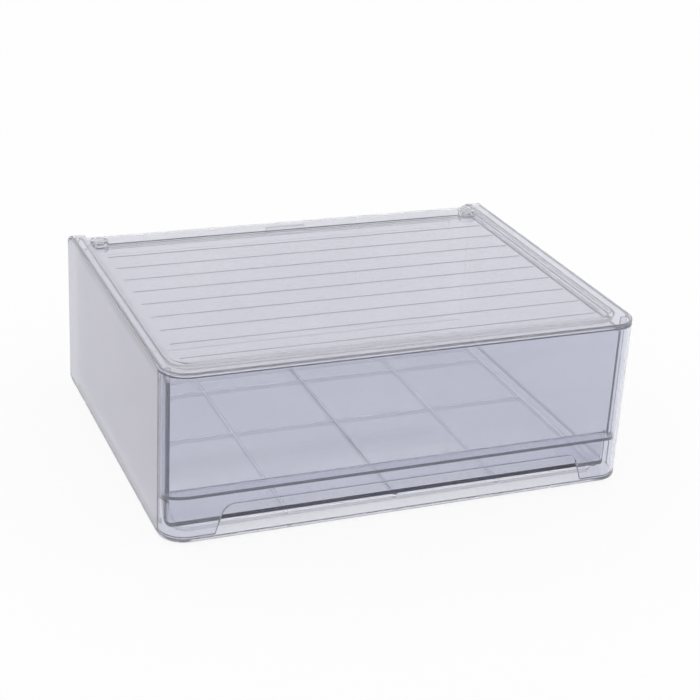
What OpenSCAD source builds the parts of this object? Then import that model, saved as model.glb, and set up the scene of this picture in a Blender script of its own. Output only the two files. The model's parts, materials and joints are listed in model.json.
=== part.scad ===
// Stackable drawer box in clear plastic, for crafts and small parts.
// A knock-down case of five panels carries one drawer that slides out at the front.
// X runs across the width, Y from the front (-) to the rear (+), Z up.
// The origin is at the bottom centre of the whole box.

/* [Case] */
// Width of the case
case_w = 320; // [240:5:400]
// Depth of the case
case_d = 260; // [220:5:340]
// Height from the underside of the base plate to the top of the stacking rails
case_h = 114; // [90:1:180]
// Wall thickness of the case panels
wall = 2.5; // [2:0.1:3.2]
// Plan radius of the two front corners
front_r = 17; // [12:1:22]
// Plan radius of the two rear corners
rear_r = 5; // [3:0.5:8]
// Radius of the edge where the top rolls down into the rear
top_roll_r = 18; // [12:1:22]
// Radius of the edge where the base rolls up into the rear
base_roll_r = 10; // [7:0.5:14]

/* [Stacking top] */
// Width of each raised rail beside the sunken top
rail_w = 10; // [9:0.5:14]
// Depth of the raised margin along the front
margin_d = 16; // [13:0.5:20]
// Depth of the sunken top below the rails
recess_depth = 3.5; // [3:0.1:4.5]
// Corner radius of the sunken top
recess_r = 12; // [8:1:16]
// Distance from the sunken top's side to the grooved field
field_side = 3; // [2:0.5:8]
// Distance from the sunken top's front to the grooved field
field_front = 12; // [8:1:20]
// Depth of the grooved field below the sunken top
field_depth = 0.5; // [0.3:0.1:0.7]
// Distance from one groove to the next
groove_pitch = 22; // [14:1:30]
// Width of a groove
groove_w = 1.6; // [1:0.1:2.4]
// Depth of a groove below the field
groove_depth = 0.9; // [0.4:0.1:1]
// Flat left between a groove's end and the field's side
groove_end = 3.5; // [2:0.5:8]

/* [Stacking pegs] */
// Diameter of a peg's head
peg_d = 13; // [10:0.5:16]
// Diameter of the blind hole in a peg's head
peg_bore_d = 7.6; // [5:0.2:8]
// Diameter of a peg's shank
peg_shank_d = 8.6; // [8:0.1:9]
// Radial clearance of the shank in its hole
peg_clearance = 0.2; // [0.1:0.05:0.3]
// Gap between a peg's head and the rail beside it
peg_gap = 0.5; // [0.3:0.1:1]
// Height of the collar that holds a peg under the top
collar_h = 1.2; // [1:0.1:2]

/* [Foot ring] */
// Height of the foot ring under the base plate
foot_h = 3; // [2:0.1:3.4]
// Width of the foot ring
foot_w = 2.5; // [2:0.5:4]
// Clearance of the foot ring in the sunken top of the box below
stack_gap = 1; // [0.5:0.1:2]
// Width of the stiffening ribs inside the foot ring
rib_w = 1.6; // [1:0.1:2.5]
// Distance between the stiffening ribs that run across
rib_pitch_y = 69; // [50:1:90]

/* [Drawer] */
// Wall thickness of the drawer tub
tub_wall = 2.2; // [1.8:0.1:2.8]
// Wall thickness of the drawer front
front_wall = 2.5; // [2:0.1:3]
// Gap from the tub's side to the case side
side_gap = 2.5; // [2.4:0.1:5]
// Gap from the tub's rear to the line where the sunken top starts to roll down
rear_gap = 1; // [0.5:0.5:12]
// Gap from the tub's rim to the underside of the sunken top
rim_gap = 6; // [5:0.5:14]
// Radius of the tub's long bottom edges and upright corners
tub_r = 4.5; // [3:0.5:8]
// Gap between the drawer front and the base plate
front_gap_low = 0.5; // [0.3:0.1:1]
// Gap between the drawer front and the top
front_gap_high = 1; // [0.5:0.1:2]
// Gap between the drawer front's ends and the case sides
front_gap_side = 0.5; // [0.3:0.1:1]

/* [Finger pull] */
// Depth of the finger pocket, from the drawer's face to its set-back wall
pocket_d = 16; // [13:1:22]
// Height of the pocket's roof above the underside of the base plate, at the drawer front
ledge_h = 32; // [28:1:40]
// Drop of the pocket's roof from the drawer front to the set-back wall
ledge_drop = 4; // [1:0.5:6]
// Width of the finger opening at the bottom of the drawer front
notch_w = 255; // [120:5:270]
// Height of the finger opening
notch_h = 19.5; // [16:0.5:22]
// Lean of the opening's sides from upright, in degrees
notch_lean = 18; // [0:1:30]
// Radius of the opening's two upper corners
notch_r = 8.5; // [5:0.5:10]

/* [Runners and stop] */
// Height of the runner ribs on the base plate
runner_h = 0.9; // [0.6:0.1:1.5]
// Width of a runner rib
runner_w = 3; // [2:0.5:5]
// Distance from the tub's side to the middle of a runner rib
runner_inset = 8.5; // [7:0.5:14]
// Running clearance between the runner ribs and the tub
slide_gap = 0.2; // [0.1:0.05:0.4]
// Width of the stop bar under the front of the top
stop_bar_w = 40; // [30:5:120]
// Width of the stop tab on the tub's rear rim
stop_tab_w = 30; // [20:5:100]
// Height over which the stop bar and the stop tab meet
stop_bite = 2; // [1:0.1:2.5]
// Clearance above the stop tab
stop_gap = 1; // [0.5:0.1:1.5]

/* [Panel joints] */
// Thickness of the ribs that locate the side panels
locate_w = 1.5; // [1:0.1:1.8]
// Height of the ribs that locate the side panels
locate_h = 3.5; // [2.5:0.5:4]
// Clearance between a locating rib and its panel
locate_gap = 0.2; // [0.1:0.05:0.3]
// Distance from a panel's end to the end of its locating rib
locate_end = 8; // [4:1:20]
// Height of the lip on the rear panel that laps behind the top's rolled edge
lap_h = 4; // [3:0.5:6]
// Length of the rear panel's edge left free at each end of the lip
lap_end = 20; // [10:5:40]

/* [Hidden] */
$fn = 96;
CLEAR = [0.74, 0.76, 0.83, 0.45];
CLEAR_EDGE = [0.62, 0.65, 0.76, 0.6];
cut = 1;                                    // how far a cut runs past the face it opens
least_r = 0.5;                              // smallest radius that a drawn-in corner keeps

// Case: levels and places
half_w = case_w / 2;
half_d = case_d / 2;
base_z = foot_h;                            // underside of the base plate
floor_z = base_z + wall;                    // upper face of the base plate
rail_z = base_z + case_h;                   // top of the rails, and of the whole box
rail_under_z = rail_z - wall;
recess_z = rail_z - recess_depth;           // floor of the sunken top
recess_under_z = recess_z - wall;
side_front_y = front_r - half_d;            // front edge of the side panels
roll_z = rail_z - top_roll_r;               // where the top's rolled edge meets the rear panel
base_roll_z = base_z + base_roll_r;         // where the base's rolled edge meets the rear panel
root = wall / 2;                            // how far a rib's root runs into the plate that carries it
recess_roll_r = recess_z - roll_z;          // the rolled edge behind the sunken top

// Sunken top
recess_half_w = half_w - rail_w;
recess_front_y = margin_d - half_d;
field_half_w = recess_half_w - field_side;
field_half_d = -(recess_front_y + field_front);
field_r = recess_r - field_side;
field_z = recess_z - field_depth;
groove_half_w = field_half_w - groove_end;
groove_pairs = floor(field_half_d / groove_pitch + 0.5 - groove_w / groove_pitch);

// Stacking pegs and foot ring
peg_r = peg_d / 2;
peg_x = recess_half_w - peg_gap - peg_r;
peg_y = field_half_d;
peg_hole_r = peg_shank_d / 2 + peg_clearance;
collar_r = (peg_d + peg_shank_d) / 4;
foot_half_w = recess_half_w - stack_gap;
foot_front_y = recess_front_y + stack_gap;
foot_rear_y = peg_y - peg_r - stack_gap;
foot_r = recess_r - stack_gap;

// Drawer
tub_half_w = half_w - wall - side_gap;
tub_front_y = pocket_d - half_d;            // front face of the set-back wall
tub_rear_y = half_d - recess_roll_r - rear_gap;
tub_z = floor_z + runner_h + slide_gap;     // underside of the tub
rim_z = recess_under_z - rim_gap;
front_low_z = floor_z + front_gap_low;
front_high_z = rail_under_z - front_gap_high;
front_end_y = side_front_y - front_gap_side;
shoulder_y = front_end_y - tub_wall;        // front face of the shoulders that carry the drawer front's ends
ledge_z = base_z + ledge_h;                 // upper edge of the pocket's roof at the drawer front
ledge_rear_z = ledge_z - ledge_drop;
stop_tab_z = recess_under_z - stop_gap;
stop_bar_z = stop_tab_z - stop_bite;
stop_bar_y = recess_front_y + wall;
notch_steps = 10;                           // flats along each upper corner of the finger opening

// Plan outline of the case, drawn in by inset: round corners at the front and the rear
module case_plan(inset = 0) {
    w = half_w - inset;
    d = half_d - inset;
    rf = front_r - inset;
    rr = max(rear_r - inset, least_r);
    translate([-w, rf - d]) square([2 * w, 2 * d - rf - rr]);
    translate([rf - w, -d]) square([2 * (w - rf), rf]);
    translate([rr - w, d - rr]) square([2 * (w - rr), rr]);
    for (s = [-1, 1]) {
        translate([s * (w - rf), rf - d]) circle(rf);
        translate([s * (w - rr), d - rr]) circle(rr);
    }
}

// Plan of an area with round corners, from y0 to y1
module round_plan(half, y0, y1, r) {
    translate([-half, y0 + r]) square([2 * half, y1 - y0 - 2 * r]);
    translate([r - half, y0]) square([2 * (half - r), y1 - y0]);
    for (x = [r - half, half - r], y = [y0 + r, y1 - r]) translate([x, y]) circle(r);
}

// Plan of the sunken top, which is open at the rear, grown by grow
module recess_plan(grow = 0) {
    round_plan(recess_half_w + grow, recess_front_y - grow, case_d, recess_r + grow);
}

// Turns a drawing of (y, z) into a prism that runs across the box, centred on x = 0
module across(width) {
    translate([-width / 2, 0, 0]) rotate([90, 0, 90]) linear_extrude(width) children();
}

// Side view of all that lies below a top at height z whose rear edge rolls down with radius r
module below_top(z, r, rear_y, low_z) {
    translate([-case_d, low_z]) square([case_d + rear_y - r, z - low_z]);
    translate([rear_y - r - cut, low_z]) square([r + cut, z - r - low_z]);
    translate([rear_y - r, z - r]) circle(r);
}

// Side view of all that lies above a base at height z whose rear edge rolls up with radius r
module above_base(z, r, rear_y, high_z) {
    mirror([0, 1]) below_top(-z, r, rear_y, -high_z);
}

// Side view of a side panel, between the rolled edges and flush with their inner faces
module side_view() {
    intersection() {
        below_top(rail_under_z, top_roll_r - wall, half_d - wall, 0);
        above_base(floor_z, base_roll_r - wall, half_d - wall, rail_z);
        translate([side_front_y, 0]) square([case_d, rail_z]);
    }
}

// A rib on the base plate along a side panel's inner side
module locating_rib(side) {
    x = side * (half_w - wall - locate_gap - locate_w / 2);
    y0 = side_front_y + locate_end;
    y1 = half_d - top_roll_r - locate_end;
    translate([x - locate_w / 2, y0, floor_z - root]) cube([locate_w, y1 - y0, locate_h + root]);
}

// Base: plate with a rolled rear edge, foot ring and ribs below, runners and locating ribs above
module base_panel() {
    color(CLEAR) union() {
        intersection() {
            linear_extrude(base_roll_z) case_plan();
            across(case_w) difference() {
                above_base(base_z, base_roll_r, half_d, rail_z);
                above_base(floor_z, base_roll_r - wall, half_d - wall, rail_z);
            }
        }
        foot_ring();
        for (side = [-1, 0, 1]) runner(side * (tub_half_w - runner_inset));
        for (side = [-1, 1]) locating_rib(side);
    }
}

// Ring that stands on the table, or drops into the sunken top of the box below
module foot_ring() {
    difference() {
        linear_extrude(base_z + root) round_plan(foot_half_w, foot_front_y, foot_rear_y, foot_r);
        translate([0, 0, -cut]) linear_extrude(base_z + root + 2 * cut)
            round_plan(foot_half_w - foot_w, foot_front_y + foot_w, foot_rear_y - foot_w, foot_r - foot_w);
    }
    length = foot_rear_y - foot_front_y - foot_w;
    for (x = [-foot_half_w / 2, 0, foot_half_w / 2])
        translate([x - rib_w / 2, foot_front_y + foot_w / 2, 0])
            cube([rib_w, length, base_z + root]);
    for (y = [-rib_pitch_y, 0, rib_pitch_y])
        translate([foot_w / 2 - foot_half_w, y - rib_w / 2, 0])
            cube([2 * foot_half_w - foot_w, rib_w, base_z + root]);
}

// Low rib that the tub slides on
module runner(x) {
    y0 = side_front_y;
    y1 = half_d - base_roll_r - wall;
    translate([x - runner_w / 2, y0, floor_z - root]) cube([runner_w, y1 - y0, runner_h + root]);
}

// Flat side panel; side is -1 for the left and 1 for the right
module side_panel(side) {
    color(CLEAR_EDGE) intersection() {
        linear_extrude(rail_z) case_plan();
        translate([side * (half_w - wall / 2), 0, 0]) across(wall) side_view();
    }
}

// Rear panel, between the two rolled edges, with a lip that laps behind the top's edge
module rear_panel() {
    color(CLEAR) union() {
        intersection() {
            translate([0, 0, base_roll_z]) linear_extrude(roll_z - base_roll_z) case_plan();
            translate([-half_w, half_d - wall, 0]) cube([case_w, wall, rail_z]);
        }
        across(2 * (half_w - lap_end)) lap_view();
    }
}

// Side view of the rear panel's lip: it stands clear of the rolled edge's inner curve
module lap_view() {
    lip_y = half_d - wall - locate_gap - lap_h * lap_h / (recess_roll_r - wall);
    translate([lip_y - locate_w, roll_z - lap_h]) square([locate_w, 2 * lap_h]);
    translate([lip_y - cut / 2, roll_z - lap_h]) square([half_d - wall - lip_y + cut, lap_h]);
}

// Top: sunken, grooved field between two hollow rails and a front margin, rolled down at the rear
module top_panel() {
    color(CLEAR) difference() {
        union() {
            top_shell();
            stop_bar();
        }
        translate([0, 0, field_z]) linear_extrude(recess_depth + cut)
            round_plan(field_half_w, -field_half_d, field_half_d, field_r);
        for (i = [1 : groove_pairs], side = [-1, 1]) groove(side * (i - 0.5) * groove_pitch);
        for (side = [-1, 1]) translate([side * peg_x, peg_y, recess_under_z - cut])
            cylinder(h = wall + 2 * cut, r = peg_hole_r);
    }
}

// The top's moulded shell, one wall thick all over
module top_shell() {
    difference() {
        intersection() {
            translate([0, 0, roll_z]) linear_extrude(top_roll_r) case_plan();
            across(case_w) below_top(rail_z, top_roll_r, half_d, 0);
        }
        // Space above the sunken top
        intersection() {
            linear_extrude(rail_z + cut) recess_plan();
            difference() {
                across(case_w) translate([-case_d, 0]) square([2 * case_d, rail_z + cut]);
                across(case_w + 2 * cut) below_top(recess_z, recess_roll_r, half_d, -cut);
            }
        }
        // Space below the sunken top
        across(case_w + 2 * cut) below_top(recess_under_z, recess_roll_r - wall, half_d - wall, 0);
        // Hollows below the rails and the front margin
        difference() {
            across(case_w + 2 * cut) below_top(rail_under_z, top_roll_r - wall, half_d - wall, 0);
            linear_extrude(rail_z) recess_plan(wall);
        }
    }
}

// Groove across the field
module groove(y) {
    translate([-groove_half_w, y - groove_w / 2, field_z - groove_depth])
        cube([2 * groove_half_w, groove_w, groove_depth + recess_depth]);
}

// Bar under the front of the sunken top that stops the drawer when it is pulled out
module stop_bar() {
    translate([-stop_bar_w / 2, stop_bar_y, stop_bar_z])
        cube([stop_bar_w, wall, recess_under_z + root - stop_bar_z]);
}

// Push-in peg; side is -1 for the left and 1 for the right
module stacking_peg(side) {
    color(CLEAR_EDGE) translate([side * peg_x, peg_y, 0]) difference() {
        union() {
            translate([0, 0, recess_z]) cylinder(h = recess_depth, r = peg_r);
            translate([0, 0, recess_under_z - collar_h])
                cylinder(h = wall + collar_h, r = peg_shank_d / 2);
            translate([0, 0, recess_under_z - collar_h]) cylinder(h = collar_h, r = collar_r);
        }
        translate([0, 0, recess_z]) cylinder(h = recess_depth + cut, r = peg_bore_d / 2);
    }
}

// Body of the tub drawn in by inset: round long bottom edges and round upright corners
module tub_body(inset, high_z) {
    half = tub_half_w - inset;
    y0 = tub_front_y + inset;
    y1 = tub_rear_y - inset;
    low = tub_z + inset;
    r = tub_r - inset;
    intersection() {
        translate([0, 0, low]) linear_extrude(high_z - low) round_plan(half, y0, y1, r);
        translate([0, case_d, 0]) rotate([90, 0, 0]) linear_extrude(2 * case_d) {
            translate([-half, low + r]) square([2 * half, high_z - low - r]);
            translate([r - half, low]) square([2 * (half - r), high_z - low]);
            for (s = [-1, 1]) translate([s * (half - r), low + r]) circle(r);
        }
    }
}

// Tub: open box whose set-back front wall is low, and whose shoulders carry the drawer front
module drawer_tub() {
    color(CLEAR) union() {
        difference() {
            tub_body(0, rim_z);
            tub_body(tub_wall, rim_z + cut);
            translate([-case_w, tub_front_y - cut, ledge_rear_z])
                cube([2 * case_w, tub_wall + tub_r + cut, case_h]);
        }
        tub_side_ends();
        shoulders();
        pocket_roof();
        translate([-stop_tab_w / 2, tub_rear_y - tub_wall, rim_z - tub_wall])
            cube([stop_tab_w, tub_wall, stop_tab_z - rim_z + tub_wall]);
    }
}

// The front ends of the tub's sides, above the finger pocket
module tub_side_ends() {
    for (s = [-1, 1])
        translate([s * (tub_half_w - tub_wall / 2) - tub_wall / 2, shoulder_y, ledge_rear_z - tub_wall])
            cube([tub_wall, tub_front_y + tub_wall + tub_r - shoulder_y, rim_z - ledge_rear_z + tub_wall]);
}

// Upright shoulders, from the tub's sides out to the drawer front's round ends
module shoulders() {
    translate([0, 0, ledge_rear_z - tub_wall]) linear_extrude(front_high_z - ledge_rear_z + tub_wall)
        intersection() {
            case_plan(front_wall);
            difference() {
                translate([-half_w, shoulder_y]) square([case_w, tub_wall]);
                translate([tub_wall - tub_half_w, -half_d]) square([2 * (tub_half_w - tub_wall), case_d]);
            }
        }
}

// Sloping roof of the finger pocket, from the drawer front back to the set-back wall
module pocket_roof() {
    intersection() {
        linear_extrude(rail_z) case_plan(front_wall);
        across(case_w) polygon([
            [-half_d, ledge_z],
            [-half_d, ledge_z - tub_wall],
            [tub_front_y, ledge_rear_z - tub_wall],
            [tub_front_y + tub_wall, ledge_rear_z - tub_wall],
            [tub_front_y + tub_wall, ledge_rear_z]
        ]);
        translate([-half_w, -half_d, 0]) cube([case_w, front_end_y + half_d, rail_z]);
    }
}

// Drawer front: full width, with round ends, and a finger opening in its lower edge
module drawer_front() {
    color(CLEAR_EDGE) difference() {
        translate([0, 0, front_low_z]) linear_extrude(front_high_z - front_low_z)
            intersection() {
                difference() {
                    case_plan();
                    case_plan(front_wall);
                }
                translate([-half_w, -half_d]) square([case_w, front_end_y + half_d]);
            }
        translate([0, front_end_y, front_low_z]) rotate([90, 0, 0])
            linear_extrude(case_d) finger_opening();
    }
}

// Front view of the finger opening, measured from the drawer front's lower edge
module finger_opening() {
    cy = notch_h - notch_r;
    cx = notch_w / 2 - cy * tan(notch_lean) - notch_r / cos(notch_lean);
    foot_x = notch_w / 2 + cut * tan(notch_lean);
    // Upper right corner, from where it touches the leaning side to where it touches the top
    corner = [for (i = [0 : notch_steps]) let (a = notch_lean + (90 - notch_lean) * i / notch_steps)
        [cx + notch_r * cos(a), cy + notch_r * sin(a)]];
    other_corner = [for (i = [notch_steps : -1 : 0]) [-corner[i][0], corner[i][1]]];
    polygon(concat([[foot_x, -cut]], corner, other_corner, [[-foot_x, -cut]]));
}

base_panel();
side_panel(-1);  // left_side_panel
side_panel(1);  // right_side_panel
rear_panel();
top_panel();
stacking_peg(-1);  // left_stacking_peg
stacking_peg(1);  // right_stacking_peg
drawer_tub();
drawer_front();
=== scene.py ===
# %% [markdown]
# # A clear drawer box, piece by piece
#
# The real object is a stackable box of clear plastic: five moulded panels and two pegs make the case, and
# an open box with a face makes the drawer. Nothing on it is painted, so all that the eye sees is edges,
# thickness and a faint blue-grey tint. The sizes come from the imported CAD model, which every Blender
# piece has to match. It could be dressed as it stands, but its edges are knife sharp, and clear plastic
# shows that at once. So each piece is built again here as a closed solid from the same sizes, with the
# small round edges that a mould gives.

# %% Load the frame
import json
import math

import bmesh
import bpy
from mathutils import Matrix, Vector


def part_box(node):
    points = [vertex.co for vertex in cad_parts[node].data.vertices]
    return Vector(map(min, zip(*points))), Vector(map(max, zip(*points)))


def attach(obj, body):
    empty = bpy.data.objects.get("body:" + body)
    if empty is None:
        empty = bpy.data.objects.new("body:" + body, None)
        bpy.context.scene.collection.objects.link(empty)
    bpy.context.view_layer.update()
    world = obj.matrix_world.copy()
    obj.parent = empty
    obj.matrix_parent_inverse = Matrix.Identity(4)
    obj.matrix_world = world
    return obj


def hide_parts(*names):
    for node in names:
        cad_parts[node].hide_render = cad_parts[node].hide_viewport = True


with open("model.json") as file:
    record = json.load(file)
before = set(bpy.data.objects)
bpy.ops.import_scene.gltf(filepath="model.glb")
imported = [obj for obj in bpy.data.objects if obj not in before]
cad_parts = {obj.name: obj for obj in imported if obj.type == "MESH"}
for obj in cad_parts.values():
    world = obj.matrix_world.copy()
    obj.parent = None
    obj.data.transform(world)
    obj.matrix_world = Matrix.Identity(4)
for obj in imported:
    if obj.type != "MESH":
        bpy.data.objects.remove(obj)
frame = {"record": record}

scene = bpy.context.scene
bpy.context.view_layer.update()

# %% [markdown]
# ## The camera
#
# A camera is a place, a direction and a lens. The photograph was taken from the front left and a little
# above, with a fairly long lens and the horizon tipped by some three degrees. Blender's camera looks
# along its own -Z, so its matrix is written from three axes: right, up and backwards.

# %% Place the camera
CAMERA_PLACE = Vector((-0.3994, -0.9718, 0.5227))
CAMERA_YAW = math.radians(22.84)      # turned from +Y towards +X
CAMERA_PITCH = math.radians(23.75)    # tipped down
CAMERA_ROLL = math.radians(3.21)
FOCAL_LENGTH = 84.85                  # mm, on a sensor 36 mm wide


def make_camera():
    """A camera at the photograph's place and angle."""
    level = math.cos(CAMERA_PITCH)
    ahead = Vector((math.sin(CAMERA_YAW) * level, math.cos(CAMERA_YAW) * level, -math.sin(CAMERA_PITCH)))
    right = Vector((math.cos(CAMERA_YAW), -math.sin(CAMERA_YAW), 0))
    up = right.cross(ahead)
    rolled_right = math.cos(CAMERA_ROLL) * right + math.sin(CAMERA_ROLL) * up
    rolled_up = math.cos(CAMERA_ROLL) * up - math.sin(CAMERA_ROLL) * right
    data = bpy.data.cameras.new("studio_camera")
    data.lens = FOCAL_LENGTH
    data.sensor_width = 36
    camera = bpy.data.objects.new("studio_camera", data)
    turn = Matrix((rolled_right, rolled_up, -ahead)).transposed().to_4x4()
    camera.matrix_world = Matrix.Translation(CAMERA_PLACE) @ turn
    scene.collection.objects.link(camera)
    return camera


scene.camera = make_camera()
print("camera at", tuple(scene.camera.matrix_world.translation))

# %% [markdown]
# ## A pale room
#
# Clear plastic has hardly any colour of its own: it shows the room. A floor that is white to the camera,
# and also to the rays that the plastic mirrors and bends, keeps the panels clean. For all other rays the
# floor is plain pale paint, which takes the soft shadow. The Light Path node tells the two kinds of ray
# apart.
#
# In a tent that is white all round, clear plastic would have no outlines. A product photographer leaves
# the tent open at the front, and the dark room behind the camera draws the edges. The world here has the
# same dark side, again for mirrored and bent rays only, so the light that falls on the box stays even.

# %% Floor and light
FLOOR_SIZE = 3.0
FLOOR_COLOUR = (0.9, 0.9, 0.9, 1)
FLOOR_ROUGHNESS = 0.9
FLOOR_WHITE = 0.9                    # share of plain white that seeing rays meet
WORLD_COLOUR = (1, 1, 1, 1)
DIM_COLOUR = (0.06, 0.07, 0.15, 1)   # the dark room in front of the tent
OPEN_FROM = -0.1                     # a ray's Y at which the tent's open front begins
OPEN_FULLY = -0.55                   # and at which nothing of the tent is left


def either(nodes, links, first, second):
    """The larger of two sockets."""
    node = nodes.new("ShaderNodeMath")
    node.operation = "MAXIMUM"
    links.new(first, node.inputs[0])
    links.new(second, node.inputs[1])
    return node.outputs["Value"]


def pale_floor_paint():
    """Pale paint that looks white to the camera, in mirrors and through clear plastic."""
    paint = bpy.data.materials.new("pale_floor_paint")
    paint.use_nodes = True
    nodes, links = paint.node_tree.nodes, paint.node_tree.links
    matt = nodes["Principled BSDF"]
    matt.inputs["Base Color"].default_value = FLOOR_COLOUR
    matt.inputs["Roughness"].default_value = FLOOR_ROUGHNESS
    white = nodes.new("ShaderNodeEmission")
    path = nodes.new("ShaderNodeLightPath")
    seen = either(nodes, links, path.outputs["Is Camera Ray"], path.outputs["Is Glossy Ray"])
    seen = either(nodes, links, seen, path.outputs["Is Transmission Ray"])
    share = nodes.new("ShaderNodeMath")
    share.operation = "MULTIPLY"
    share.inputs[1].default_value = FLOOR_WHITE
    links.new(seen, share.inputs[0])
    blend = nodes.new("ShaderNodeMixShader")
    links.new(share.outputs["Value"], blend.inputs["Fac"])
    links.new(matt.outputs["BSDF"], blend.inputs[1])
    links.new(white.outputs["Emission"], blend.inputs[2])
    links.new(blend.outputs["Shader"], nodes["Material Output"].inputs["Surface"])
    return paint


def make_floor():
    """A wide square floor under the box."""
    half = FLOOR_SIZE / 2
    mesh = bpy.data.meshes.new("floor")
    corners = [(-half, -half, 0), (half, -half, 0), (half, half, 0), (-half, half, 0)]
    mesh.from_pydata(corners, [], [(0, 1, 2, 3)])
    mesh.materials.append(pale_floor_paint())
    floor = bpy.data.objects.new("floor", mesh)
    scene.collection.objects.link(floor)


def make_light():
    """Even light from all round, as in a white tent; mirrored and bent rays meet its dark open front."""
    world = bpy.data.worlds.new("white_tent")
    world.use_nodes = True
    nodes, links = world.node_tree.nodes, world.node_tree.links
    ray = nodes.new("ShaderNodeSeparateXYZ")
    links.new(nodes.new("ShaderNodeTexCoord").outputs["Generated"], ray.inputs["Vector"])
    fade = nodes.new("ShaderNodeMapRange")
    fade.interpolation_type = "SMOOTHSTEP"
    fade.inputs["From Min"].default_value = OPEN_FROM
    fade.inputs["From Max"].default_value = OPEN_FULLY
    links.new(ray.outputs["Y"], fade.inputs["Value"])
    path = nodes.new("ShaderNodeLightPath")
    bent = either(nodes, links, path.outputs["Is Glossy Ray"], path.outputs["Is Transmission Ray"])
    share = nodes.new("ShaderNodeMath")
    share.operation = "MULTIPLY"
    links.new(fade.outputs["Result"], share.inputs[0])
    links.new(bent, share.inputs[1])
    tent = nodes.new("ShaderNodeMix")
    tent.data_type = "RGBA"
    tent.inputs["A"].default_value = WORLD_COLOUR
    tent.inputs["B"].default_value = DIM_COLOUR
    links.new(share.outputs["Value"], tent.inputs["Factor"])
    links.new(tent.outputs["Result"], nodes["Background"].inputs["Color"])
    scene.world = world


make_floor()
make_light()
scene.view_settings.view_transform = "Standard"
BOUNCES = 64                         # light runs from face to face inside a wall before it leaves
scene.cycles.max_bounces = BOUNCES
scene.cycles.transmission_bounces = BOUNCES
scene.cycles.glossy_bounces = BOUNCES
print("floor and light are ready")

# %% [markdown]
# ## Clear styrene
#
# The plastic is made as a real one: a surface that bends light, with a volume behind it that swallows a
# little of it. The surface's colour acts at every crossing, so a view through four walls is deeper than
# one through two. Light that is caught inside a wall runs on to its edges, takes the volume's blue-grey
# there and meets the dark side of the tent, so the edges draw themselves. A small share of diffuse colour
# stands for haze.
#
# Two noise patterns on Object coordinates finish it: slow waves, which every moulded sheet has, and a
# finer one for wiped, slightly scuffed gloss. A third lets the tint drift between two tones. One line is
# painted shade: faces whose seam attribute is 1 turn dark, and the drawer uses that where its roof meets
# its face, in place of the dark line that bent light shows there.

# %% The plastic
REFRACTION = 1.49
BLUE_GREY = (0.55, 0.57, 0.78, 1)    # what the volume lets through
# painted shade: the dark line where the drawer's roof and the tub's ends meet its face
PAINTED_SEAM_SHADE = (0.012, 0.014, 0.03, 1)
TINT_SCALE = 9
SCUFF_SCALE = 160
WAVE_SCALE = 22
GLOSS = (0.0, 0.03)                  # roughness from clean to scuffed
RIPPLE = 0.05                        # strength of the moulded waves
WAVE_HEIGHT = 0.002
NOISE_LOW = 0.3                      # nearly all of a noise pattern lies between these two
NOISE_HIGH = 0.7


def noise(nodes, links, place, scale, detail):
    """A noise pattern in the object's own space."""
    node = nodes.new("ShaderNodeTexNoise")
    node.inputs["Scale"].default_value = scale
    node.inputs["Detail"].default_value = detail
    links.new(place, node.inputs["Vector"])
    return node.outputs["Fac"]


def between(nodes, links, value, low, high):
    """A noise value spread over low..high."""
    node = nodes.new("ShaderNodeMapRange")
    numbers = {"From Min": NOISE_LOW, "From Max": NOISE_HIGH, "To Min": low, "To Max": high}
    for name, number in numbers.items():
        node.inputs[name].default_value = number
    links.new(value, node.inputs["Value"])
    return node.outputs["Result"]


def clear_styrene(name, pale, deep, clearness, density):
    """A clear, tinted, slightly hazy plastic. pale and deep are the two tints that it drifts between."""
    plastic = bpy.data.materials.new(name)
    plastic.use_nodes = True
    nodes, links = plastic.node_tree.nodes, plastic.node_tree.links
    surface = nodes["Principled BSDF"]
    surface.inputs["IOR"].default_value = REFRACTION
    surface.inputs["Transmission Weight"].default_value = clearness
    place = nodes.new("ShaderNodeTexCoord").outputs["Object"]

    clouds = noise(nodes, links, place, TINT_SCALE, 2)
    tint = nodes.new("ShaderNodeMix")
    tint.data_type = "RGBA"
    tint.inputs["A"].default_value = (*pale, 1)
    tint.inputs["B"].default_value = (*deep, 1)
    links.new(between(nodes, links, clouds, 0, 1), tint.inputs["Factor"])
    # painted shade: faces whose seam attribute is 1 take the dark seam colour
    seam = nodes.new("ShaderNodeAttribute")
    seam.attribute_name = "seam"
    seamed = nodes.new("ShaderNodeMix")
    seamed.data_type = "RGBA"
    seamed.inputs["B"].default_value = PAINTED_SEAM_SHADE
    links.new(seam.outputs["Fac"], seamed.inputs["Factor"])
    links.new(tint.outputs["Result"], seamed.inputs["A"])
    links.new(seamed.outputs["Result"], surface.inputs["Base Color"])

    scuffs = noise(nodes, links, place, SCUFF_SCALE, 6)
    links.new(between(nodes, links, scuffs, *GLOSS), surface.inputs["Roughness"])

    waves = noise(nodes, links, place, WAVE_SCALE, 1)
    bump = nodes.new("ShaderNodeBump")
    bump.inputs["Strength"].default_value = RIPPLE
    bump.inputs["Distance"].default_value = WAVE_HEIGHT
    links.new(waves, bump.inputs["Height"])
    links.new(bump.outputs["Normal"], surface.inputs["Normal"])

    inside = nodes.new("ShaderNodeVolumeAbsorption")
    inside.inputs["Color"].default_value = BLUE_GREY
    inside.inputs["Density"].default_value = density
    links.new(inside.outputs["Volume"], nodes["Material Output"].inputs["Volume"])
    return plastic


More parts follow.
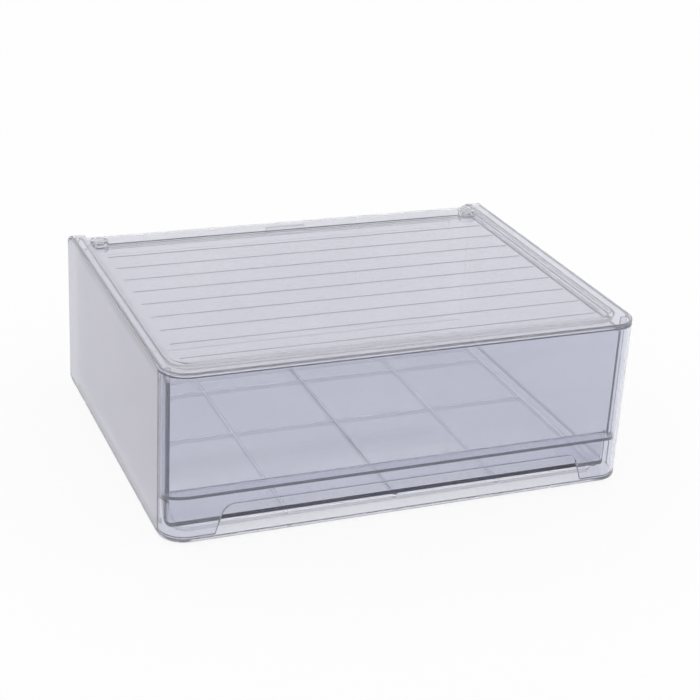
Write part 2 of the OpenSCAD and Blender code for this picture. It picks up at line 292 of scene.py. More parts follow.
top_plastic = clear_styrene("top_plastic", (0.935, 0.935, 0.975), (0.915, 0.915, 0.96), 0.88, 8)
case_plastic = clear_styrene("case_plastic", (0.93, 0.935, 0.975), (0.91, 0.915, 0.96), 0.88, 8)
# painted shade: the left wall's plastic is darker and hazier than the right wall's, for the dimmer light on
# that side
left_shaded_plastic = clear_styrene("left_shaded_plastic", (0.71, 0.69, 0.78), (0.66, 0.65, 0.75), 0.75, 5)
right_plastic = clear_styrene("right_plastic", (0.92, 0.925, 0.97), (0.90, 0.905, 0.955), 0.90, 5)
tub_plastic = clear_styrene("tub_plastic", (0.95, 0.955, 0.985), (0.93, 0.935, 0.97), 0.94, 35)
front_plastic = clear_styrene("front_plastic", (0.92, 0.93, 0.975), (0.90, 0.91, 0.96), 0.94, 25)
peg_plastic = clear_styrene("peg_plastic", (0.99, 0.99, 1.0), (0.98, 0.98, 0.99), 0.93, 3)
print("seven clear plastics, made from one recipe")

# %% [markdown]
# ## Outlines, prisms and cuts
#
# A moulded panel is a few simple prisms put together and cut. A prism needs one outline, and every
# outline here is straight stretches and arcs. Blender's Boolean modifier with the Manifold solver adds,
# cuts or keeps what two closed solids share, and always gives a closed solid back. Sizes are in
# millimetres until the vertices are made.

# %% Outlines
MM = 0.001
TURN_STEPS = 12            # flats along a quarter turn


def arc(centre_x, centre_y, radius, start, end):
    """Points on an arc, in degrees, both ends included."""
    steps = max(2, round(TURN_STEPS * abs(end - start) / 90))
    angles = [math.radians(start + (end - start) * i / steps) for i in range(steps + 1)]
    return [(centre_x + radius * math.cos(a), centre_y + radius * math.sin(a)) for a in angles]


def rounded(left, right, low, high, low_r, high_r):
    """A rectangle with round corners: low_r at the two lower ones, high_r at the two upper ones."""
    return [*arc(right - low_r, low + low_r, low_r, -90, 0),
            *arc(right - high_r, high - high_r, high_r, 0, 90),
            *arc(left + high_r, high - high_r, high_r, 90, 180),
            *arc(left + low_r, low + low_r, low_r, 180, 270)]


# %% Prisms
SAME_POINT = 1e-7                    # metres; ring points closer than this are one


def solid(points_low, points_high):
    """A closed solid between two like rings of 3-D points in mm."""
    count = len(points_low)
    mesh = bpy.data.meshes.new("solid")
    faces = [[*range(count - 1, -1, -1)], [*range(count, 2 * count)]]
    faces += [(i, (i + 1) % count, count + (i + 1) % count, count + i) for i in range(count)]
    mesh.from_pydata([Vector(p) * MM for p in [*points_low, *points_high]], [], faces)
    shape = bmesh.new()
    shape.from_mesh(mesh)
    bmesh.ops.remove_doubles(shape, verts=shape.verts, dist=SAME_POINT)
    bmesh.ops.recalc_face_normals(shape, faces=shape.faces)
    shape.to_mesh(mesh)
    shape.free()
    piece = bpy.data.objects.new("solid", mesh)
    scene.collection.objects.link(piece)
    return piece


def upright(outline, low, high):
    """An outline of (x, y) raised from low to high."""
    return solid([(x, y, low) for x, y in outline], [(x, y, high) for x, y in outline])


def across(outline, left, right):
    """An outline of (y, z) drawn across the box from left to right."""
    return solid([(left, y, z) for y, z in outline], [(right, y, z) for y, z in outline])


def lengthwise(outline, front, rear):
    """An outline of (x, z) drawn from the front to the rear."""
    return solid([(x, front, z) for x, z in outline], [(x, rear, z) for x, z in outline])


def block(left, right, front, rear, low, high):
    """A plain block, only ever used as part of a larger solid."""
    return upright([(left, front), (right, front), (right, rear), (left, rear)], low, high)


# %% Cuts
def evaluated(piece):
    """The piece's mesh with its modifiers applied."""
    view = bpy.context.evaluated_depsgraph_get()
    return bpy.data.meshes.new_from_object(piece.evaluated_get(view))


def combine(piece, others, operation):
    """Adds, cuts or keeps what is shared, one solid after another. The others are used up."""
    for other in others:
        boolean = piece.modifiers.new("combine", "BOOLEAN")
        boolean.operation = operation
        boolean.solver = "MANIFOLD"
        boolean.object = other
        mesh = evaluated(piece)
        piece.modifiers.clear()
        piece.data = mesh
        bpy.data.objects.remove(other)
    return piece


def joined(piece, *others):
    return combine(piece, others, "UNION")


def cut(piece, *others):
    return combine(piece, others, "DIFFERENCE")


def shared(piece, *others):
    return combine(piece, others, "INTERSECT")


# %% [markdown]
# ## Mould-round edges
#
# A mould can't make a knife edge, so every outer edge is rounded by a few tenths of a millimetre. The
# Bevel modifier does that, on the edges that carry a bevel weight. Which edges get one is a rule: the edge
# is sharp enough, and the piece's own function says what share of the width suits its place. The Weighted
# Normal modifier then keeps the large faces truly flat, which matters more in clear plastic than in any
# other, because a bent normal bends all that is seen through the wall.

# %% Round and name a piece
SHARP = math.radians(32)             # an edge sharper than this is rounded
CREASE = math.radians(60)            # an edge left sharper than this is shaded as a crease
FLAT = math.radians(0.5)             # faces that differ by less are one face
WELD = 2e-6                          # metres; corners that a Boolean leaves closer than this are one
FLAT_FACE_WEIGHT = 90
NEAR = 0.1                           # mm; how far a corner may lie from where a rule looks for it


def round_edges(piece, width, weight_at=lambda place: 1, segments=2):
    """Rounds the sharp edges. weight_at gives the share of width that suits a place in mm, 0 for none."""
    shape = bmesh.new()
    shape.from_mesh(piece.data)
    bmesh.ops.remove_doubles(shape, verts=shape.verts, dist=WELD)
    bmesh.ops.dissolve_limit(shape, angle_limit=FLAT, verts=shape.verts, edges=shape.edges)
    weight = shape.edges.layers.float.new("bevel_weight_edge")
    for edge in shape.edges:
        if edge.calc_face_angle(0) > SHARP:
            edge[weight] = min(weight_at(corner.co / MM) for corner in edge.verts)
    picked = sum(edge[weight] > 0 for edge in shape.edges)
    shape.to_mesh(piece.data)
    shape.free()
    bevel = piece.modifiers.new("mould_round", "BEVEL")
    bevel.width = width * MM
    bevel.segments = segments
    bevel.limit_method = "WEIGHT"
    bevel.use_clamp_overlap = False
    mesh = evaluated(piece)
    piece.modifiers.clear()
    piece.data = mesh
    print(f"rounded {picked} edges by up to {width} mm")
    return piece


def finish(piece, name, node, plastic):
    piece.name = piece.data.name = name
    shape = bmesh.new()
    shape.from_mesh(piece.data)
    for face in shape.faces:
        face.smooth = True
    for edge in shape.edges:
        edge.smooth = edge.calc_face_angle(0) < CREASE
    shape.to_mesh(piece.data)
    shape.free()
    weighted = piece.modifiers.new("flat_faces", "WEIGHTED_NORMAL")
    weighted.weight = FLAT_FACE_WEIGHT
    weighted.keep_sharp = True
    mesh = evaluated(piece)
    piece.modifiers.clear()
    piece.data = mesh
    mesh.materials.clear()
    mesh.materials.append(plastic)
    bodies = frame["record"]["behaviour"]["bodies"]
    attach(piece, next(body for body, nodes in bodies.items() if node in nodes))
    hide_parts(node)
    shape = bmesh.new()
    shape.from_mesh(mesh)
    loose = sum(not edge.is_manifold for edge in shape.edges)
    volume = shape.calc_volume() / MM ** 3
    shape.free()
    print(f"{name}: {len(mesh.polygons)} faces, {loose} open edges, {volume:.0f} mm3")
    return piece


# %% [markdown]
# ## Sizes of the case
#
# The outer sizes are read from the frame, so that the pieces can't drift away from the CAD. What a box
# can't tell, such as a wall or a corner radius, is named here in millimetres.

# %% Sizes
def node_box(node):
    """Lowest and highest corner of a CAD node in mm, rid of the last digits' noise."""
    return [Vector([round(value / MM, 3) for value in corner]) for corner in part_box(node)]


case_low, case_high = node_box("top_panel")
half_w, half_d = case_high.x, case_high.y
rail_z = case_high.z                 # top of the rails
roll_z = case_low.z                  # where the top's rolled edge meets the rear panel
WALL = 2.5
AIR = 0.04                           # the film of air between two pieces that touch
FRONT_R = 17
REAR_R = 5
top_roll_r = rail_z - roll_z
rail_under_z = rail_z - WALL
side_front = FRONT_R - half_d        # front edge of the side panels


def case_plan(inset=0):
    """Plan outline of the case, drawn in by inset."""
    return rounded(inset - half_w, half_w - inset, inset - half_d, half_d - inset,
                   FRONT_R - inset, max(REAR_R - inset, 0.5))


def below_top(z, radius, rear, low):
    """Side view of all that lies below a top at z whose rear edge rolls down."""
    roll = arc(rear - radius, z - radius, radius, 0, 90)
    return [(-2 * half_d, low), (rear, low), *roll, (-2 * half_d, z)]


print("case", 2 * half_w, "x", 2 * half_d, "x", rail_z, "mm, roll radius", round(top_roll_r, 1))

# %% [markdown]
# ## The stacking top
#
# The top is one moulded shell, a wall thick all over: two hollow rails and a front margin stand round a
# sunken floor, and the rear edge rolls down. A flat sheet bent to shape would be hard to keep in
# thickness, so the shell is what stays of a solid block when the space above it and the space below it
# are cut away.

# %% Shell of the top
RAIL_W = 10
MARGIN_D = 16
RECESS_DEPTH = 3.5
RECESS_R = 12
FIELD_SIDE = 3
FIELD_FRONT = 12
FIELD_DEPTH = 0.5
PAST = 1                             # how far a cutting solid runs past what it cuts
TOP_ROUND = 1.0                      # the rails' and the margin's rims are well rounded
FIELD_SHARE = 0.2                    # the field's own edges are crisp
UNDER_SHARE = 0.5
STEP_FADE = 4                        # the recess's step fades out over the last millimetres at the rear
recess_z = rail_z - RECESS_DEPTH
recess_under_z = recess_z - WALL
recess_roll_r = recess_z - roll_z
recess_half_w = half_w - RAIL_W
recess_front = MARGIN_D - half_d
field_half_w = recess_half_w - FIELD_SIDE
field_half_d = -(recess_front + FIELD_FRONT)
field_z = recess_z - FIELD_DEPTH
far = 2 * half_d
ROOT = WALL / 2                      # how far a rib's or a bar's root runs into its plate
STOP_BAR_W = 40
STOP_BITE = 2
STOP_GAP = 1
stop_tab_z = recess_under_z - STOP_GAP
stop_bar_z = stop_tab_z - STOP_BITE
stop_bar_front = recess_front + WALL


def recess_plan(grow=0):
    """Plan of the sunken top, which is open at the rear."""
    half, radius = recess_half_w + grow, RECESS_R + grow
    centre_x, centre_y = recess_half_w - RECESS_R, recess_front + RECESS_R
    return [*arc(centre_x, centre_y, radius, -90, 0), (half, far), (-half, far),
            *arc(-centre_x, centre_y, radius, 180, 270)]


def top_shell():
    """The top before its grooves are cut."""
    shell = shared(upright(case_plan(), roll_z, rail_z),
                   across(below_top(rail_z, top_roll_r, half_d, roll_z - PAST), -far, far))
    above = cut(upright(recess_plan(), roll_z - PAST, rail_z + PAST),
                across(below_top(recess_z, recess_roll_r, half_d, roll_z - 2 * PAST), -far, far))
    rear, low = half_d - WALL, roll_z - 2 * PAST
    below = across(below_top(recess_under_z, recess_roll_r - WALL, rear, low), -far, far)
    hollows = cut(across(below_top(rail_under_z, top_roll_r - WALL, rear, low), -far, far),
                  upright(recess_plan(WALL), low - PAST, rail_z))
    field = upright(rounded(-field_half_w, field_half_w, -field_half_d, field_half_d,
                            RECESS_R - FIELD_SIDE, RECESS_R - FIELD_SIDE), field_z, rail_z)
    return cut(shell, above, below, hollows, field)


def stop_bar():
    """The bar under the front of the sunken top, which the drawer's tab meets."""
    return block(-STOP_BAR_W / 2, STOP_BAR_W / 2, stop_bar_front, stop_bar_front + WALL, stop_bar_z,
                 recess_under_z + ROOT)


def top_round(place):
    """The share of the round at a place on the top: little in the field, none where the step fades out."""
    in_field = abs(place.x) < field_half_w + NEAR and place.y < field_half_d + NEAR
    if in_field and field_z - NEAR < place.z < recess_z + NEAR:
        return FIELD_SHARE
    if place.y > half_d - STEP_FADE:
        return 0
    return 1 if place.z > recess_z - NEAR else UNDER_SHARE


print("sunken top", 2 * recess_half_w, "mm wide,", RECESS_DEPTH, "mm deep")

# %% Peg sizes and turned parts
PEG_D = 13
PEG_BORE_D = 7.6
PEG_SHANK_D = 8.6
PEG_CLEARANCE = 0.2
PEG_GAP = 0.5
COLLAR_H = 1.2
PEG_ROUND = 0.8
PEG_BREAK = 0.3                      # small chamfers where the lathe breaks an edge
PEG_FILLET = 0.2
peg_x = recess_half_w - PEG_GAP - PEG_D / 2
peg_y = field_half_d
peg_hole_r = PEG_SHANK_D / 2 + PEG_CLEARANCE
RING_STEPS = 48
AXIS_WELD = 1e-6                     # metres; spun points closer than this are one


def turned(profile, x, y):
    """Half a profile of (radius, z), from axis to axis, spun about an upright axis at x, y."""
    shape = bmesh.new()
    points = [shape.verts.new(Vector((x + r, y, z)) * MM) for r, z in profile]
    edges = [shape.edges.new(pair) for pair in zip(points, points[1:])]
    bmesh.ops.spin(shape, geom=[*points, *edges], cent=Vector((x, y, 0)) * MM, axis=(0, 0, 1),
                   angle=2 * math.pi, steps=RING_STEPS)
    bmesh.ops.remove_doubles(shape, verts=shape.verts, dist=AXIS_WELD)
    bmesh.ops.recalc_face_normals(shape, faces=shape.faces)
    mesh = bpy.data.meshes.new("turned")
    shape.to_mesh(mesh)
    shape.free()
    piece = bpy.data.objects.new("turned", mesh)
    scene.collection.objects.link(piece)
    return piece


def peg_profile():
    """A peg from the underside of its collar, round the head, to the bottom of its blind hole."""
    head_r, shank_r, bore_r = PEG_D / 2, PEG_SHANK_D / 2, PEG_BORE_D / 2
    collar_r = (PEG_D + PEG_SHANK_D) / 4
    low = recess_under_z - COLLAR_H
    neck_low, neck_high = recess_under_z - AIR, recess_z + AIR
    return [(0, low), (collar_r - PEG_BREAK, low), (collar_r, low + PEG_BREAK), (collar_r, neck_low),
            (shank_r, neck_low), (shank_r, neck_high), (head_r - PEG_FILLET, neck_high),
            (head_r, recess_z + PEG_BREAK),
            *arc(head_r - PEG_ROUND, rail_z - PEG_ROUND, PEG_ROUND, 0, 90),
            *arc(bore_r + PEG_ROUND / 2, rail_z - PEG_ROUND / 2, PEG_ROUND / 2, 90, 180),
            (bore_r, recess_z + PEG_FILLET), (bore_r - PEG_FILLET, recess_z), (0, recess_z)]


print("pegs", round(2 * peg_x, 1), "mm apart, in holes of radius", round(peg_hole_r, 1), "mm")

# %% Build the top
top = joined(top_shell(), stop_bar())
top = round_edges(top, TOP_ROUND, top_round, 4)

# %% [markdown]
# ## Grooves by rule
#
# Ten straight grooves run across the sunken field, one every 22 mm. That is a rule, so Geometry Nodes
# make them: a line of points, a round bar with ball ends on each point, and one Boolean that takes the
# bars out of the shell. A cutter with a ball end leaves a half-round groove, which catches a thin dark
# line of light and no more.

# %% A node tree with named inputs
class Tree:
    """A small helper that makes a geometry tree whose inputs are set by name."""

    def __init__(self, name, sizes):
        self.tree = bpy.data.node_groups.new(name, "GeometryNodeTree")
        self.identifier = {}
        self.sizes = sizes
        self.socket("Geometry", "NodeSocketGeometry")
        for label, value in sizes.items():
            self.socket(label, "NodeSocketInt" if isinstance(value, int) else "NodeSocketFloat")
        self.socket("Plastic", "NodeSocketMaterial")
        self.tree.interface.new_socket("Geometry", in_out="OUTPUT", socket_type="NodeSocketGeometry")
        self.given = self.tree.nodes.new("NodeGroupInput").outputs

    def socket(self, label, kind):
        made = self.tree.interface.new_socket(label, in_out="INPUT", socket_type=kind)
        self.identifier[label] = made.identifier

    def node(self, kind, inputs=(), **settings):
        """A node with its settings, and its inputs given as numbers or as the sockets that feed them."""
        made = self.tree.nodes.new(kind)
        for label, value in settings.items():
            setattr(made, label, value)
        for label, value in dict(inputs).items():
            for source in value if isinstance(value, list) else [value]:
                if isinstance(source, bpy.types.NodeSocket):
                    self.tree.links.new(source, made.inputs[label])
                else:
                    made.inputs[label].default_value = source
        return made

    def sums(self, operation, first, second):
        """First and second added, multiplied and so on."""
        return self.node("ShaderNodeMath", {0: first, 1: second}, operation=operation).outputs[0]

    def vector(self, x=0, y=0, z=0):
        return self.node("ShaderNodeCombineXYZ", {0: x, 1: y, 2: z}).outputs[0]

    def run(self, piece, geometry, plastic):
        """Ends the tree in Realize Instances and Set Material, and applies it to the piece."""
        real = self.node("GeometryNodeRealizeInstances", {"Geometry": geometry})
        painted = self.node("GeometryNodeSetMaterial", {
            "Geometry": real.outputs[0], "Material": self.given["Plastic"]})
        end = self.tree.nodes.new("NodeGroupOutput")
        self.tree.links.new(painted.outputs[0], end.inputs[0])
        modifier = piece.modifiers.new(self.tree.name, "NODES")
        modifier.node_group = self.tree
        for label, value in self.sizes.items():
            modifier[self.identifier[label]] = value
        modifier[self.identifier["Plastic"]] = plastic
        mesh = evaluated(piece)
        piece.modifiers.clear()
        piece.data = mesh
        return piece


# %% Cut the grooves
GROOVE_PITCH = 22
GROOVE_W = 1.6
GROOVE_DEPTH = 0.25
GROOVE_END = 3.5
BAR_STEPS = 20                       # flats round a cutting bar
groove_half_w = field_half_w - GROOVE_END
groove_r = (GROOVE_W ** 2 / 4 + GROOVE_DEPTH ** 2) / (2 * GROOVE_DEPTH)
groove_count = 2 * math.floor(field_half_d / GROOVE_PITCH + 0.5 - GROOVE_W / GROOVE_PITCH)


def cut_grooves(piece, plastic):
    """Takes a row of half-round grooves out of the field."""
    tree = Tree("cut_grooves", {
        "Count": groove_count, "Pitch": GROOVE_PITCH * MM, "Half Length": (groove_half_w - groove_r) * MM,
        "Radius": groove_r * MM, "Height": (field_z - GROOVE_DEPTH + groove_r) * MM})
    given = tree.given
    reach = tree.sums("MULTIPLY", tree.sums("SUBTRACT", given["Count"], 1.0), 0.5)
    first = tree.sums("MULTIPLY", tree.sums("MULTIPLY", reach, given["Pitch"]), -1.0)
    row = tree.node("GeometryNodeMeshLine", {
        "Count": given["Count"], "Start Location": tree.vector(y=first, z=given["Height"]),
        "Offset": tree.vector(y=given["Pitch"])}, mode="OFFSET").outputs[0]
    left = tree.vector(x=tree.sums("MULTIPLY", given["Half Length"], -1.0))
    right = tree.vector(x=given["Half Length"])
    line = tree.node("GeometryNodeCurvePrimitiveLine", {"Start": left, "End": right}).outputs[0]
    ring = tree.node("GeometryNodeCurvePrimitiveCircle", {
        "Resolution": BAR_STEPS, "Radius": given["Radius"]}).outputs[0]
    bar = tree.node("GeometryNodeCurveToMesh", {
        "Curve": line, "Profile Curve": ring, "Fill Caps": True}).outputs[0]
    ball = tree.node("GeometryNodeMeshUVSphere", {
        "Segments": BAR_STEPS, "Rings": BAR_STEPS // 2, "Radius": given["Radius"]}).outputs[0]
    bars = [tree.node("GeometryNodeInstanceOnPoints", {"Points": row, "Instance": bar}).outputs[0]]
    for end in (left, right):
        moved = tree.node("GeometryNodeTransform", {"Geometry": ball, "Translation": end}).outputs[0]
        bars.append(tree.node("GeometryNodeInstanceOnPoints", {"Points": row, "Instance": moved}).outputs[0])
    boolean = tree.node("GeometryNodeMeshBoolean", operation="DIFFERENCE", solver="MANIFOLD")
    tree.tree.links.new(given["Geometry"], boolean.inputs[0])
    for cutter in bars:
        tree.tree.links.new(cutter, boolean.inputs[1])
    return tree.run(piece, boolean.outputs[0], plastic)


def peg_drill(side):
    """The solid that bores a peg's hole; side is -1 for the left and 1 for the right."""
    low, high = recess_under_z - PAST, recess_z + PAST
    return turned([(0, low), (peg_hole_r, low), (peg_hole_r, high), (0, high)], side * peg_x, peg_y)


top = cut_grooves(top, top_plastic)
top = cut(top, *[peg_drill(side) for side in (-1, 1)])
finish(top, "stacking_top", "top_panel", top_plastic)
print(groove_count, "grooves of radius", round(groove_r, 2), "mm")

# %% [markdown]
# ## The pegs
#
# Two round pegs stand in the rear corners of the sunken top and stop the foot ring of the box above. They
# are turned parts, so each is half a profile spun about its own axis, with the rim's round drawn in the
# profile.

# %% Turn the pegs
for side, word in ((-1, "left"), (1, "right")):
    peg = turned(peg_profile(), side * peg_x, peg_y)
    finish(peg, f"{word}_peg", f"{word}_stacking_peg", peg_plastic)

# %% [markdown]
# ## The base
#
# The base is a plate whose rear edge rolls up to meet the rear panel. Below it a foot ring and a grid of
# thin ribs keep it flat. Above it three low runners carry the drawer, and two ribs hold the side panels'
# lower edges. The plate and the ring are prisms. The grid repeats, so Geometry Nodes set the ribs out
# along two lines of points and join them to the plate.

# %% Sizes of the base
BASE_ROLL_R = 10
FOOT_H = 3
FOOT_W = 2.5
STACK_GAP = 1
RIB_W = 1.6
RIB_PITCH_Y = 69
RUNNER_H = 0.9
RUNNER_W = 3
RUNNER_INSET = 8.5
SIDE_GAP = 2.5
LOCATE_W = 1.5                       # the ribs that hold a panel from inside
LOCATE_H = 3.5
LOCATE_GAP = 0.2
LOCATE_END = 8
BASE_ROUND = 0.6
RIB_SHARE = 0.4                      # thin ribs get less of the round than the plate's rim
ROLL_MARGIN = 1                      # the round stops this far before the rolled edge and the runners' ends
base_z = FOOT_H                      # underside of the base plate
floor_z = base_z + WALL
foot_half_w = recess_half_w - STACK_GAP
foot_front = recess_front + STACK_GAP
foot_rear = peg_y - PEG_D / 2 - STACK_GAP
foot_r = RECESS_R - STACK_GAP
tub_half_w = half_w - WALL - SIDE_GAP
print("foot ring", 2 * foot_half_w, "x", foot_rear - foot_front, "mm")


# %% Base plate, foot ring and ribs above
def above_base(z, radius, rear, high):
    """Side view of all that lies above a base at z whose rear edge rolls up."""
    roll = arc(rear - radius, z + radius, radius, -90, 0)
    return [(-2 * half_d, z), *roll, (rear, high), (-2 * half_d, high)]


def base_round(place):
    """Full round on the plate's rim, less on the thin ribs and none where the plate meets the rear panel."""
    if place.z < base_z - NEAR or floor_z + NEAR < place.z < floor_z + LOCATE_H + NEAR:
        return RIB_SHARE
    return 0 if place.y > half_d - BASE_ROLL_R - WALL - ROLL_MARGIN else 1


def base_plate():
    """The plate with its rolled rear edge, one wall thick."""
    outer = above_base(base_z, BASE_ROLL_R, half_d, rail_z)
    inner = above_base(floor_z, BASE_ROLL_R - WALL, half_d - WALL, rail_z + PAST)
    return cut(shared(upright(case_plan(), base_z, base_z + BASE_ROLL_R), across(outer, -far, far)),
               across(inner, -far - PAST, far + PAST))


def foot_ring():
    """The ring that the box stands on."""
    outer = rounded(-foot_half_w, foot_half_w, foot_front, foot_rear, foot_r, foot_r)
    inner = rounded(FOOT_W - foot_half_w, foot_half_w - FOOT_W, foot_front + FOOT_W, foot_rear - FOOT_W,
                    foot_r - FOOT_W, foot_r - FOOT_W)
    return cut(upright(outer, 0, base_z + ROOT), upright(inner, -PAST, base_z + ROOT + PAST))


def locating_rib(side):
    """A rib that holds a side panel's lower edge from inside."""
    x = side * (half_w - WALL - LOCATE_GAP - LOCATE_W / 2)
    front, rear = side_front + LOCATE_END, half_d - top_roll_r - LOCATE_END
    return block(x - LOCATE_W / 2, x + LOCATE_W / 2, front, rear, floor_z - ROOT, floor_z + LOCATE_H)


def runner(x):
    """A low rib that the drawer slides on."""
    return block(x - RUNNER_W / 2, x + RUNNER_W / 2, side_front, half_d - BASE_ROLL_R - WALL, floor_z - ROOT,
                 floor_z + RUNNER_H)


# %% Ribs by rule
def add_ribs(piece, plastic):
    """Joins three ribs lengthwise and three across to the underside of the base."""
    tree = Tree("add_ribs", {
        "Count": 3, "Width": RIB_W * MM, "Height": (base_z + ROOT) * MM,
        "Pitch X": foot_half_w / 2 * MM, "Length X": (2 * foot_half_w - FOOT_W) * MM,
        "Pitch Y": RIB_PITCH_Y * MM, "Length Y": (foot_rear - foot_front - FOOT_W) * MM,
        "Middle Y": (foot_rear + foot_front) / 2 * MM})
    given = tree.given
    lift = tree.sums("MULTIPLY", given["Height"], 0.5)
    grids = []
    for size, start, offset in (
        (tree.vector(given["Width"], given["Length Y"], given["Height"]),
         tree.vector(tree.sums("MULTIPLY", given["Pitch X"], -1.0), given["Middle Y"], lift),
         tree.vector(x=given["Pitch X"])),
        (tree.vector(given["Length X"], given["Width"], given["Height"]),
         tree.vector(0, tree.sums("MULTIPLY", given["Pitch Y"], -1.0), lift),
         tree.vector(y=given["Pitch Y"])),
    ):
        row = tree.node("GeometryNodeMeshLine", {
            "Count": given["Count"], "Start Location": start, "Offset": offset}, mode="OFFSET").outputs[0]
        rib = tree.node("GeometryNodeMeshCube", {"Size": size}).outputs[0]
        grids.append(tree.node("GeometryNodeInstanceOnPoints", {"Points": row, "Instance": rib}).outputs[0])
    boolean = tree.node("GeometryNodeMeshBoolean", operation="UNION", solver="MANIFOLD")
    for source in (given["Geometry"], *grids):
        tree.tree.links.new(source, boolean.inputs[1])
    return tree.run(piece, boolean.outputs[0], plastic)


runners = [runner(side * (tub_half_w - RUNNER_INSET)) for side in (-1, 0, 1)]
base = joined(base_plate(), foot_ring(), *runners, *[locating_rib(side) for side in (-1, 1)])
base = round_edges(add_ribs(base, case_plastic), BASE_ROUND, base_round)
finish(base, "base_plate", "base_panel", case_plastic)

# %% [markdown]
# ## Side and rear panels
#
# The sides are flat plates that follow the rolled edges of the base and the top. Each is one outline
# drawn across the wall's thickness. The rear panel stands between the two rolled edges and laps behind
# the top's. Pieces that touch keep a film of air between them, as real ones do: where two faces coincide,
# a ray can't tell which plastic it is in.

# %% Side and rear panels
SIDE_ROUND = 0.4
REAR_ROUND = 0.3
LAP_H = 4
LAP_END = 20


def side_wall(side):
    """A flat side panel; side is -1 for the left and 1 for the right."""
    low, high, rear = floor_z + AIR, rail_under_z - AIR, half_d - WALL - AIR
    low_r, high_r = BASE_ROLL_R - WALL - AIR, top_roll_r - WALL - AIR
    outline = [(side_front, low), *arc(rear - low_r, low + low_r, low_r, -90, 0),
               *arc(rear - high_r, high - high_r, high_r, 0, 90), (side_front, high)]
    left, right = sorted((side * (half_w - WALL), side * half_w))
    return shared(across(outline, left, right), upright(case_plan(), 0, rail_z))


def rear_wall():
    """The rear panel with its lip."""
    lip_y = half_d - WALL - LOCATE_GAP - LAP_H ** 2 / (recess_roll_r - WALL)
    reach = half_w - LAP_END
    wall = shared(block(-half_w, half_w, half_d - WALL, half_d, base_z + BASE_ROLL_R + AIR, roll_z - AIR),
                  upright(case_plan(), 0, rail_z))
    return joined(wall, block(-reach, reach, lip_y - LOCATE_W, lip_y, roll_z - LAP_H, roll_z + LAP_H),
                  block(-reach, reach, lip_y - LOCATE_W / 2, half_d - WALL / 2, roll_z - LAP_H, roll_z))


# the left wall takes the darker plastic, painted shade for the dimmer light on its side
for side, word, plastic in ((-1, "left", left_shaded_plastic), (1, "right", right_plastic)):
    wall = round_edges(side_wall(side), SIDE_ROUND, lambda place: place.y < side_front + NEAR)
    finish(wall, f"{word}_wall", f"{word}_side_panel", plastic)
finish(round_edges(rear_wall(), REAR_ROUND), "rear_wall", "rear_panel", case_plastic)

# %% [markdown]
# ## The drawer
#
# The tub is an open box with round long edges. Its front wall is low and set back, and a sloping roof
# runs from it to the drawer's face, so that fingers find a pocket there. The face is a full-height panel
# with round ends that carry on the case's corners, and a wide opening in its lower edge lets the fingers
# in. Where the roof and the tub's ends meet the face, bent light shows a dark line; here it is painted on
# as shade, so those faces are found by their distance and marked.

# %% Sizes of the drawer
TUB_WALL = 2.2
FRONT_WALL = 2.5
TUB_R = 4.5
REAR_GAP = 1
RIM_GAP = 6
SLIDE_GAP = 0.2
POCKET_D = 16
LEDGE_H = 32
LEDGE_DROP = 4
FRONT_GAP_LOW = 0.5
FRONT_GAP_HIGH = 1
FRONT_GAP_SIDE = 0.5
STOP_TAB_W = 30
DRAWER_ROUND = 0.5
tub_front = POCKET_D - half_d        # front of the set-back wall
tub_rear = half_d - recess_roll_r - REAR_GAP
tub_z = floor_z + RUNNER_H + SLIDE_GAP
rim_z = recess_under_z - RIM_GAP
ledge_z = base_z + LEDGE_H
ledge_rear_z = ledge_z - LEDGE_DROP
front_low_z = floor_z + FRONT_GAP_LOW
front_high_z = rail_under_z - FRONT_GAP_HIGH
front_end = side_front - FRONT_GAP_SIDE
shoulder_front = front_end - TUB_WALL
print("tub", 2 * tub_half_w, "mm wide,", round(rim_z - tub_z, 1), "mm high")


# %% Tub
def tub_round(place):
    """Full round on the rim and the pocket, none where the tub meets the drawer's face."""
    return 0 if place.y < tub_front - NEAR else 1


def tub_body(inset, high):
    """The tub's outer or inner form: round upright corners and round long bottom edges."""
    half, low, r = tub_half_w - inset, tub_z + inset, TUB_R - inset
    plan = upright(rounded(-half, half, tub_front + inset, tub_rear - inset, r, r), low - PAST, high)
    view = [*arc(half - r, low + r, r, -90, 0), (half, high + PAST), (-half, high + PAST),
            *arc(r - half, low + r, r, 180, 270)]
    return shared(plan, lengthwise(view, -far, far))


def side_ends():
    """The front ends of the tub's sides above the pocket, and the shoulders that carry the face's ends."""
    ends = []
    low = ledge_rear_z - TUB_WALL
    for side in (-1, 1):
        left, right = sorted((side * (tub_half_w - TUB_WALL), side * tub_half_w))
        ends.append(block(left, right, shoulder_front, tub_front + TUB_WALL + TUB_R, low, rim_z))
        left, right = sorted((side * (tub_half_w - TUB_WALL), side * half_w))
        shoulder = block(left, right, shoulder_front, front_end, low, front_high_z)
        ends.append(shared(shoulder, upright(case_plan(FRONT_WALL + AIR), 0, rail_z)))
    return ends


def pocket_roof():
    """The sloping roof of the finger pocket."""
    outline = [(-half_d, ledge_z), (-half_d, ledge_z - TUB_WALL), (tub_front, ledge_rear_z - TUB_WALL),
               (tub_front + TUB_WALL, ledge_rear_z - TUB_WALL), (tub_front + TUB_WALL, ledge_rear_z),
               (tub_front, ledge_rear_z)]
    return shared(across(outline, -half_w, half_w), upright(case_plan(FRONT_WALL + AIR), 0, rail_z),
                  block(-half_w, half_w, -half_d, front_end, 0, rail_z))


def tub():
    """The whole tub with its stop tab."""
    body = cut(tub_body(0, rim_z), tub_body(TUB_WALL, rim_z + PAST),
               block(-far, far, tub_front - PAST, tub_front + TUB_WALL + TUB_R, ledge_rear_z, rail_z))
    tab = block(-STOP_TAB_W / 2, STOP_TAB_W / 2, tub_rear - TUB_WALL, tub_rear, rim_z - TUB_WALL, stop_tab_z)
    return joined(body, *side_ends(), pocket_roof(), tab)


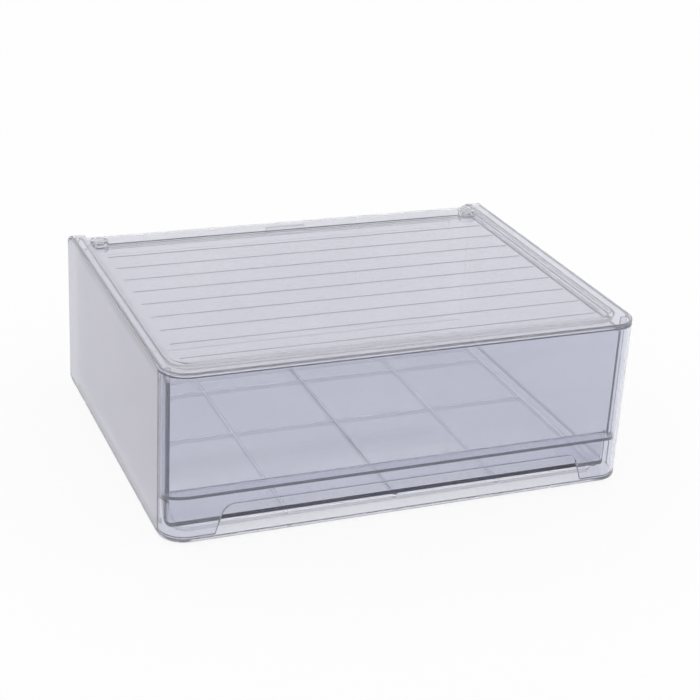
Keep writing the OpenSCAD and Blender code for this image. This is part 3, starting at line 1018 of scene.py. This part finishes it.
# %% The seam
SEAM_REACH = 0.15                    # mm; how near the face a corner has to lie to be on the seam


def gap_to_face(place):
    """How far a place on the tub lies behind the inside of the drawer's face."""
    away = Vector((abs(place.x), place.y)) - Vector((half_w - FRONT_R, FRONT_R - half_d))
    reach = away.length if away.x > 0 and away.y < 0 else -away.y
    return FRONT_R - FRONT_WALL - reach


def mark_seam_shade(piece):
    """Marks the faces that meet the inside of the drawer's face, where shade is painted: seam is 1 there and
    0 elsewhere.
    """
    mark = piece.data.attributes.new("seam", "FLOAT", "FACE")
    for face, value in zip(piece.data.polygons, mark.data):
        places = [piece.data.vertices[corner].co / MM for corner in face.vertices]
        close = max(gap_to_face(place) for place in places) < SEAM_REACH
        value.value = close and max(place.y for place in places) < front_end + SEAM_REACH
    print(round(sum(value.value for value in mark.data)), "faces on the seam")
    return piece


# the marked faces carry the painted seam shade
box = mark_seam_shade(round_edges(tub(), DRAWER_ROUND, tub_round))
finish(box, "drawer_box", "drawer_tub", tub_plastic)


# %% Face
NOTCH_W = 255
NOTCH_H = 19.5
NOTCH_LEAN = 18
NOTCH_R = 8.5


def finger_opening():
    """Front view of the opening in the face's lower edge, as (x, z)."""
    lean = math.radians(NOTCH_LEAN)
    centre_z = NOTCH_H - NOTCH_R
    centre_x = NOTCH_W / 2 - centre_z * math.tan(lean) - NOTCH_R / math.cos(lean)
    foot = NOTCH_W / 2 + PAST * math.tan(lean)
    right = [(foot, -PAST), *arc(centre_x, centre_z, NOTCH_R, NOTCH_LEAN, 90)]
    left = [(-x, z) for x, z in reversed(right)]
    return [(x, z + front_low_z) for x, z in [*right, *left]]


def drawer_face():
    """The drawer's face: a slice of the case's own outline, one wall thick."""
    face = cut(upright(case_plan(), front_low_z, front_high_z),
               upright(case_plan(FRONT_WALL), front_low_z - PAST, front_high_z + PAST),
               block(-far, far, front_end, far, -PAST, rail_z + PAST))
    return cut(face, lengthwise(finger_opening(), -half_d - PAST, front_end + PAST))


finish(round_edges(drawer_face(), DRAWER_ROUND), "drawer_face", "drawer_front", front_plastic)
